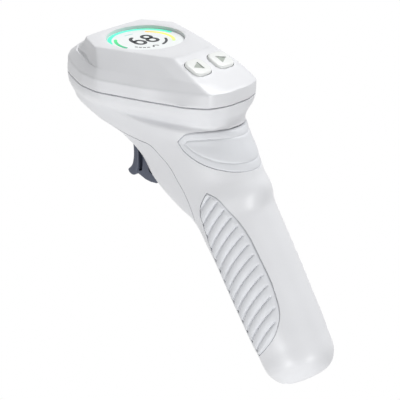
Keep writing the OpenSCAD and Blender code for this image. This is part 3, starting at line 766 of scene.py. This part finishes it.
def rim_circle(radius, z):
    """A circle round the display, its points in line with the plate's."""
    plate = outline(PLATE, 3)
    away = plate[:, :2] / np.linalg.norm(plate[:, :2], axis=1)[:, None]
    return np.concatenate([away * radius, np.full((len(away), 1), z)], axis=1)


def on_slope(y, height=0.0):
    """The place and lean of the rear slope under a button, as a matrix in metres."""
    z = -(BUTTON_X - SLOPE_TOP[0]) * math.tan(SLOPE_LEAN)
    place = Matrix.Translation(HEAD + Vector((BUTTON_X, y, z)) * MM)
    return place @ Matrix.Rotation(SLOPE_LEAN, 4, "Y") @ Matrix.Translation((0, 0, height * MM))


class CONTROLLER_OT_top_cover(bpy.types.Operator):
    """Top cover: a cut-gem lid with a scooped nose, a raised lip and a rounded skirt"""
    bl_idname = "controller.top_cover"
    bl_label = "Top cover"

    def execute(self, context):
        radius, wall = sizes().edge_radius / MM, sizes().wall / MM
        plate, crease = outline(PLATE, 3), outline(CREASE, 3)
        skirt, rim = outline(SKIRT, 5), outline(PARTING, PARTING_ROUNDING)
        from_corner = np.hypot(crease[:, 0] - SCOOP_X, np.abs(crease[:, 1]) - SCOOP_Y)
        nose = np.exp(-(from_corner / SCOOP_WIDTH) ** 2)
        foot = drawn_in(crease, SCOOP_FOOT * nose)
        foot[:, 2] -= 0.1 * nose
        lip = drawn_in(crease, -SCOOP_LIP * nose)
        seat = -RIM_DEPTH - LENS_THICKNESS
        rings = [rim_circle(r, z) for r, z in
                 ((LEDGE_RADIUS, seat - 1), (LEDGE_RADIUS, seat), (RIM_RADIUS, seat), (RIM_RADIUS, -0.35),
                  (RIM_RADIUS + 0.12, -0.1), (RIM_RADIUS + 0.4, 0))]
        rings += [between(rim_circle(RIM_RADIUS, 0), plate, 0.5), drawn_in(plate, 0.55),
                  drawn_in(plate, 0.22, -0.04)]
        for share in (0.03, 0.07, 0.14, 0.24, 0.36, 0.5, 0.64, 0.76, 0.86, 0.94):
            scoop = SCOOP_DEPTH * nose * 4 * share * (1 - share)
            rings.append(drawn_in(between(plate, foot, share), scoop))
        rings += [foot, between(foot, lip, 0.35), between(foot, lip, 0.8), lip]
        rings += [between(lip, skirt, share) for share in (0.12, 0.35, 0.6, 0.8, 0.92)]
        rings += [drawn_in(between(skirt, rim, 0.03), 0.05)]
        rings += [between(skirt, rim, share) for share in (0.12, 0.3, 0.5, 0.7)]
        rings += [drawn_in(rim, radius * (1 - math.cos(a)), PART_Z + radius * (1 - math.sin(a)))
                  for a in (0, math.pi / 6, math.pi / 3, math.pi / 2)]
        rings += [drawn_in(rim, wall), drawn_in(skirt, wall, skirt[:, 2] - 0.5),
                  drawn_in(foot, wall, foot[:, 2] - wall / 2), drawn_in(plate, wall, -wall),
                  rim_circle(RIM_RADIUS + 1.4, -wall), rim_circle(RIM_RADIUS + 1.4, seat - 1)]
        rings.append(rings[0])
        cover = grid(np.array(rings), wrap=True)
        bmesh.ops.remove_doubles(cover, verts=cover.verts, dist=0.001 * MM)
        bmesh.ops.recalc_face_normals(cover, faces=cover.faces)
        opening = BUTTON_SIZE + 2 * BUTTON_GAP
        for side in (-1, 1):
            wide = opening + 1.3
            pedestal = rounded_plate(wide, wide, BUTTON_CORNER + 0.9, -4.2, 0.03, edge=0.35)
            pedestal.transform(on_slope(side * BUTTON_Y))
            cover = combined(cover, pedestal, "UNION")
        for side in (-1, 1):
            hole = rounded_plate(opening, opening, BUTTON_CORNER + BUTTON_GAP, -8, 4)
            hole.transform(on_slope(side * BUTTON_Y))
            cover = combined(cover, hole)
        finished("top_cover_shell", cover, shell_finish(), nodes=["top_cover"],
                 crease=32)
        return {"FINISHED"}


def triangle(size, low, high):
    """A three-sided prism that points along +X, with softened corners."""
    bm = bmesh.new()
    bmesh.ops.create_cone(bm, cap_ends=True, segments=3, radius1=size * MM, radius2=size * MM,
                          depth=(high - low) * MM, matrix=Matrix.Translation((0, 0, (low + high) / 2 * MM))
                          @ Matrix.Rotation(math.radians(-90), 4, "Z"))
    return bevelled(bm, upright_edges(bm), 0.4, 3)


class CONTROLLER_OT_buttons(bpy.types.Operator):
    """Buttons: two crowned caps with sunk arrows that point outwards"""
    bl_idname = "controller.buttons"
    bl_label = "Buttons"

    def execute(self, context):
        sunk = sizes().arrow_depth / MM
        # The arrows' finish: a grey-green darker than the cap, painted shade at the bottom of each sunk
        # arrow
        arrow_shade_finish = kept("arrow_ink", moulded, colours().arrow, 0.55, 0.6, 0.006)
        for side, name in ((-1, "left"), (1, "right")):
            body, node = name + "_button", "button_" + name
            cap = rounded_plate(BUTTON_SIZE, BUTTON_SIZE, BUTTON_CORNER, -2.5, BUTTON_PROUD, edge=0.9)
            turn = Matrix.Rotation(side * math.pi / 2, 4, "Z")
            cutter = triangle(2.9, BUTTON_PROUD - sunk, BUTTON_PROUD + 1)
            cutter.transform(turn)
            cap = combined(cap, cutter)
            flange = rounded_plate(BUTTON_SIZE + 2.4, BUTTON_SIZE, 0.6, -3.3, -2.5)
            cap = combined(cap, flange, "UNION")
            cap.transform(on_slope(side * BUTTON_Y))
            finished(node + "_cap", cap, button_finish(), body, [node], crease=40)
            # A thin sheet at the bottom of the sunk arrow, in that darker grey-green: painted shade in the
            # recess
            arrow = triangle(2.85, BUTTON_PROUD - sunk - 0.05, BUTTON_PROUD - sunk + 0.03)
            arrow.transform(turn)
            arrow.transform(on_slope(side * BUTTON_Y))
            finished(name + "_arrow", arrow, arrow_shade_finish, body)
        return {"FINISHED"}


# ---------------------------------------------------------------- display

UI_Z = -RIM_DEPTH - 0.12
SEGMENT_THICKNESS = 0.05


def dial(radius, hour):
    """A point of the display's clock face, with 12 towards the nose."""
    angle = math.radians(30 * hour)
    return -radius * math.cos(angle), radius * math.sin(angle)


def ribbon(points, half_width):
    """A flat band with round ends along points (x, y) on the display, with its length in a UV map."""
    points = np.asarray(points, float)
    along = np.gradient(points, axis=0)
    along /= np.linalg.norm(along, axis=1)[:, None]
    across = np.stack([-along[:, 1], along[:, 0]], axis=1)
    ends = [(math.cos(turn), math.sin(turn)) for turn in np.radians([80, 55, 25])]
    rows = [(points[0] - along[0] * half_width * k, across[0], half_width * c) for c, k in ends]
    rows += [(p, a, half_width) for p, a in zip(points, across)]
    rows += [(points[-1] + along[-1] * half_width * k, across[-1], half_width * c) for c, k in ends[::-1]]
    table = [[(*(p - a * w), UI_Z), (*(p + a * w), UI_Z)] for p, a, w in rows]
    bm = grid(np.array(table))
    layer = bm.loops.layers.uv.new("length")
    order = {v: i // 2 for i, v in enumerate(bm.verts)}
    for face in bm.faces:
        for loop in face.loops:
            loop[layer].uv = (order[loop.vert] / (len(rows) - 1), 0.5)
    bmesh.ops.recalc_face_normals(bm, faces=bm.faces)
    if sum((f.normal.z for f in bm.faces)) < 0:
        bmesh.ops.reverse_faces(bm, faces=bm.faces)
    bmesh.ops.solidify(bm, geom=bm.faces[:], thickness=SEGMENT_THICKNESS * MM)
    return bm


def arc(radius, start_hour, end_hour):
    return [dial(radius, hour) for hour in np.linspace(start_hour, end_hour, 40)]


def loop_points(centre, rx, ry, start, end, steps=28):
    """Part of an ellipse on the display; angles in degrees from the nose side, towards the right."""
    angles = np.radians(np.linspace(start, end, steps))
    return [(centre[0] - rx * math.cos(a), centre[1] + ry * math.sin(a)) for a in angles]


def turned(points, degrees=10):
    """Points of the display turned about its middle, from its right towards its rear."""
    c, s = math.cos(math.radians(degrees)), math.sin(math.radians(degrees))
    return [(x * c + y * s - 1.2, y * c - x * s) for x, y in points]


class CONTROLLER_OT_display(bpy.types.Operator):
    """Display: a plain round face with lit coloured arcs, digits and marks on it"""
    bl_idname = "controller.display"
    bl_label = "Display"

    def execute(self, context):
        disc = round_bar((0, 0, -RIM_DEPTH - 0.85), (0, 0, UI_Z - 0.05), RIM_RADIUS - 0.15, 96)
        finished("display_panel", disc, panel_finish(), nodes=["display_module", "display_lens"])
        segments = {
            "scale_outer": (ribbon(arc(15.2, -2.1, 2.9), 0.9), "teal_segments",
                            [(0.0, "#38C79A"), (1.0, "#2FB6A0"), (0.5, "#53D3B4"), (0.75, "#63DDB0")]),
            "scale_left": (ribbon(arc(12.6, -1.4, -3.2), 0.7), "green_segments",
                           [(0.0, "#3DBE72"), (1.0, "#1C8A66")]),
            "scale_right": (ribbon(arc(11.9, 1.55, 4.5), 0.7), "warm_segments",
                            [(0.0, "#F2A048"), (1.0, "#A9E07A"), (0.5, "#EFD75A")]),
        }
        ink = [(0.0, "#14181C"), (1.0, "#14181C")]
        six = merged(ribbon(turned(loop_points((2.0, -3.1), 2.6, 2.1, 0, 352)), 0.75),
                     ribbon(turned(loop_points((0.6, -2.3), 5.4, 2.9, -10, -86)), 0.75))
        eight = merged(ribbon(turned(loop_points((2.2, 3.1), 2.4, 2.15, 0, 352)), 0.75),
                       ribbon(turned(loop_points((-2.4, 3.1), 2.2, 1.9, 0, 352)), 0.75))
        marks = [ribbon(arc(9.5, hour, hour - 0.16), 0.3) for hour in (8.35, 8.0, 7.65, 7.3)]
        marks.append(ribbon(loop_points((8.6, -2.2), 1.2, 1.2, -90, 90), 0.3))
        segments["digits"] = (merged(six, eight), "black_segments", ink)
        segments["pointer_arc"] = (ribbon(arc(8.8, 3.9, 5.6), 0.55), "black_segments", ink)
        segments["small_marks"] = (merged(*marks), "black_segments", ink)
        segments["state_bar"] = (ribbon([(-10.6, -1.4), (-10.3, 2.0)], 0.5), "grey_segments",
                                 [(0.0, "#9BB0AE"), (1.0, "#9BB0AE")])
        for name, (bm, finish_name, stops) in segments.items():
            finished(name, bm, kept(finish_name, lit, stops, 0.75))
        return {"FINISHED"}


# ---------------------------------------------------------------- trigger

FACE_FRONT = [(1.1, -43.9), (-2, -43.6), (-1.6, -47.5), (-1.7, -52.7), (-2.7, -56.2), (-5.3, -59)]
FACE_BACK = [(-4.6, -60.2), (-3.0, -60.9), (-1.4, -60.7), (0.1, -58.8), (1.1, -54), (1.4, -49)]
WEB = [(0.6, -45), (-0.3, -59.4), (4.9, -61.1), (8, -61.5), (11.5, -61.2), (15, -57), (13.2, -44),
       (10, -41.6), (6, -42.4)]
WEB_GROOVE = [(1.5, -43), (1.1, -58.2), (3.0, -57.6), (4.1, -52), (4.0, -43)]
MAGNET = (9.0, -55.5)


class CONTROLLER_OT_trigger(bpy.types.Operator):
    """Trigger: a hollow-fronted finger plate with a lip, on a web that turns about the hinge pin"""
    bl_idname = "controller.trigger"
    bl_label = "Trigger"

    def execute(self, context):
        half = TRIGGER_WIDTH / 2
        face = prism(np.concatenate([spline(FACE_FRONT, 0.7), spline(FACE_BACK, 0.9)]), -half, half)
        bevelled(face, side_edges(face), 0.45, 3)
        web = prism(WEB, -half + 0.4, half - 0.4)
        bevelled(web, side_edges(web), 0.5, 3)
        for side in (-1, 1):
            low, high = sorted((side * (half - 2.4), side * (half + 1)))
            web = combined(web, prism(WEB_GROOVE, low, high))
            web = combined(web, round_bar((MAGNET[0], side * (half - 1.6), MAGNET[1]),
                                          (MAGNET[0], side * (half + 1), MAGNET[1]), 1.9))
        web = combined(web, prism([(1.5, -48), (1.5, -70), (20, -70), (20, -48)], -half + 2.6, half - 2.6))
        trigger = combined(face, web, "UNION")
        barrel = round_bar((PIVOT[0], -half + 0.3, PIVOT[1]), (PIVOT[0], half - 0.3, PIVOT[1]), 1.55)
        trigger = combined(trigger, barrel)
        finished("trigger_lever", trigger, trigger_finish(), TRIGGER, ["trigger"], crease=35)
        return {"FINISHED"}


# ---------------------------------------------------------------- pieces that keep the frame's shape

class CONTROLLER_OT_inner_finishes(bpy.types.Operator):
    """Finishes for the inner pieces, fasteners and socket, which keep the frame's own shapes"""
    bl_idname = "controller.inner_finishes"
    bl_label = "Inner pieces"

    def execute(self, context):
        makers = {
            # Black glass-filled nylon mouldings
            "black_plastic": ("black_nylon", moulded, linear("#2B2C30"), 0.5, 0.5, 0.01),
            # Fibreglass boards under green solder resist
            "circuit_board": ("solder_resist", moulded, linear("#1E6A42"), 0.35, 1.2, 0.01),
            # Plated sheet and turned steel, finely streaked
            "steel": ("nickel_plated_steel", metal, linear("#C4C6CB"), 0.32, 3.0),
            # Bar brass off a lathe, a little warmer where it was cut
            "brass": ("turned_brass", metal, linear("#CDA560"), 0.3, 2.0),
            # Uncoloured acetal, smooth and slightly milky
            "valve_plastic": ("natural_acetal", moulded, linear("#C9CBD0"), 0.42, 0.8, 0.008),
            # Pressed and heated polymer grains, with a chalky face
            "filter_white": ("sintered_polypropylene", moulded, linear("#F0F0EC"), 0.6, 0.3, 0.02),
            # Moulded polypropylene, waxy and blue-grey
            "collar_plastic": ("blue_grey_polypropylene", moulded, linear("#A7B1C0"), 0.35, 0.7, 0.008),
            # Cast silicone rubber, milky and soft-edged
            "silicone": ("milky_silicone", moulded, linear("#E9E5DA"), 0.45, 1.5, 0.01),
            # Shrunk vinyl film round the cell, glossy
            "cell_sleeve": ("shrink_sleeve", moulded, linear("#3D9A72"), 0.25, 2.0, 0.01),
            # The flat cover sheet, which the display's own piece stands for
            "window": ("cover_glass", moulded, linear("#E8F0F2"), 0.1, 1.0, 0.001),
        }
        outside = {"white_plastic": shell_finish, "button_plastic": button_finish, "soft_grip": pad_finish,
                   "dark_plastic": trigger_finish, "lcd": panel_finish}
        for part in frame["record"]["subparts"]:
            kind = part["material_slot"]
            obj = frame["nodes"][part["node"]]
            finish = outside[kind]() if kind in outside else kept(*makers[kind])
            if not obj.material_slots:
                obj.data.materials.append(finish)
            for slot in obj.material_slots:
                slot.material = finish
        return {"FINISHED"}


# ---------------------------------------------------------------- stage

CAMERA_TURN, CAMERA_RISE, CAMERA_ROLL = math.radians(45.8613), math.radians(17.9859), math.radians(-0.9022)
CAMERA_DISTANCE = 0.8444
# How far the display's middle lies left of and above the picture's middle, as shares of its width
DISPLAY_LEFT, DISPLAY_UP = 0.13543, 0.4061
FOCAL_SHARE = 5.0
# Each lamp: its place from the middle of the object, its size in metres and its power in watts
LAMPS = [("key", (0.08, 0.4, 0.9), 0.5, 6.9), ("fill", (0.1, -1.0, -0.4), 0.2, 3.7),
         ("rear", (0.95, -0.35, -0.15), 0.25, 3.7)]


def axes_of_view():
    """Right, up and back of a camera that looks along the display's own line of sight."""
    right = Vector((math.cos(CAMERA_TURN), math.sin(CAMERA_TURN), 0))
    level = math.cos(CAMERA_RISE)
    back = Vector((math.sin(CAMERA_TURN) * level, -math.cos(CAMERA_TURN) * level, math.sin(CAMERA_RISE)))
    up = back.cross(right)
    c, s = math.cos(CAMERA_ROLL), math.sin(CAMERA_ROLL)
    return right * c + up * s, up * c - right * s, back


def studio_world():
    """A soft white room: plain light on the object, and white where the camera or a reflection sees it."""
    world = bpy.data.worlds.new("studio")
    world.use_nodes = True
    tree = world.node_tree
    tree.nodes.clear()
    light = add(tree, "ShaderNodeBackground", {"Color": (1, 1, 1, 1), "Strength": 0.34})
    seen = seen_white(tree, light.outputs["Background"], "ShaderNodeBackground")
    add(tree, "ShaderNodeOutputWorld", Surface=seen)
    return world


def area_light(name, place, target, size, power):
    data = bpy.data.lights.new(name, "AREA")
    data.shape, data.size, data.energy = "DISK", size, power
    lamp = bpy.data.objects.new(name, data)
    lamp.location = place
    lamp.rotation_mode = "QUATERNION"
    lamp.rotation_quaternion = (Vector(place) - Vector(target)).to_track_quat("Z", "Y")
    bpy.context.scene.collection.objects.link(lamp)


class CONTROLLER_OT_stage(bpy.types.Operator):
    """Stage: a pale floor, soft lamps, a white room and the camera"""
    bl_idname = "controller.stage"
    bl_label = "Stage"

    def execute(self, context):
        scene = context.scene
        scene.view_settings.view_transform = "Standard"
        scene.world = studio_world()
        low, high = CAD_BOX
        middle = (low + high) / 2
        bm = bmesh.new()
        bmesh.ops.create_grid(bm, x_segments=1, y_segments=1, size=6.0,
                              matrix=Matrix.Translation((middle.x, middle.y, low.z - 0.6)))
        floor = new_object("floor", bm)
        finish, tree, shader, _ = new_finish("matt_white_floor", {"Base Color": (0.9, 0.9, 0.9, 1),
                                                                  "Roughness": 0.9})
        output = next(node for node in tree.nodes if node.type == "OUTPUT_MATERIAL")
        seen = seen_white(tree, shader.outputs["BSDF"], "ShaderNodeEmission")
        tree.links.new(seen, output.inputs["Surface"])
        floor.data.materials.append(finish)
        for name, offset, size, power in LAMPS:
            area_light(name, middle + Vector(offset), middle, size, power)
        right, up, back = axes_of_view()
        place = HEAD + back * CAMERA_DISTANCE
        look = (-back * FOCAL_SHARE + right * DISPLAY_LEFT - up * DISPLAY_UP)
        data = bpy.data.cameras.new("camera")
        data.sensor_width = 36.0
        data.lens = data.sensor_width * look.length
        camera = bpy.data.objects.new("camera", data)
        z = -look.normalized()
        x = up.cross(z).normalized()
        y = z.cross(x)
        camera.matrix_world = Matrix.Translation(place) @ Matrix((x, y, z)).transposed().to_4x4()
        scene.collection.objects.link(camera)
        scene.camera = camera
        return {"FINISHED"}


class CONTROLLER_PT_panel(bpy.types.Panel):
    """Lists the controller's pieces in the sidebar"""
    bl_idname = "CONTROLLER_PT_panel"
    bl_label = "Pipette Controller"
    bl_space_type = "VIEW_3D"
    bl_region_type = "UI"
    bl_category = "Pipette"

    def draw(self, context):
        for operator in STEPS:
            self.layout.operator(operator.bl_idname)
        for group in (context.scene.controller_sizes, context.scene.controller_colours):
            for name in group.__annotations__:
                self.layout.prop(group, name)


STEPS = (CONTROLLER_OT_stage, CONTROLLER_OT_inner_finishes, CONTROLLER_OT_housing, CONTROLLER_OT_front_cover,
         CONTROLLER_OT_thumb_pad, CONTROLLER_OT_grips, CONTROLLER_OT_top_cover, CONTROLLER_OT_buttons,
         CONTROLLER_OT_display, CONTROLLER_OT_trigger)
CLASSES = (ControllerSizes, ControllerColours, *STEPS, CONTROLLER_PT_panel)


def register():
    for cls in CLASSES:
        bpy.utils.register_class(cls)
    bpy.types.Scene.controller_sizes = bpy.props.PointerProperty(type=ControllerSizes)
    bpy.types.Scene.controller_colours = bpy.props.PointerProperty(type=ControllerColours)


def unregister():
    del bpy.types.Scene.controller_sizes
    del bpy.types.Scene.controller_colours
    for cls in reversed(CLASSES):
        bpy.utils.unregister_class(cls)


def main():
    register()
    for operator in STEPS:
        group, name = operator.bl_idname.split(".")
        getattr(getattr(bpy.ops, group), name)()


if __name__ == "__main__":
    main()
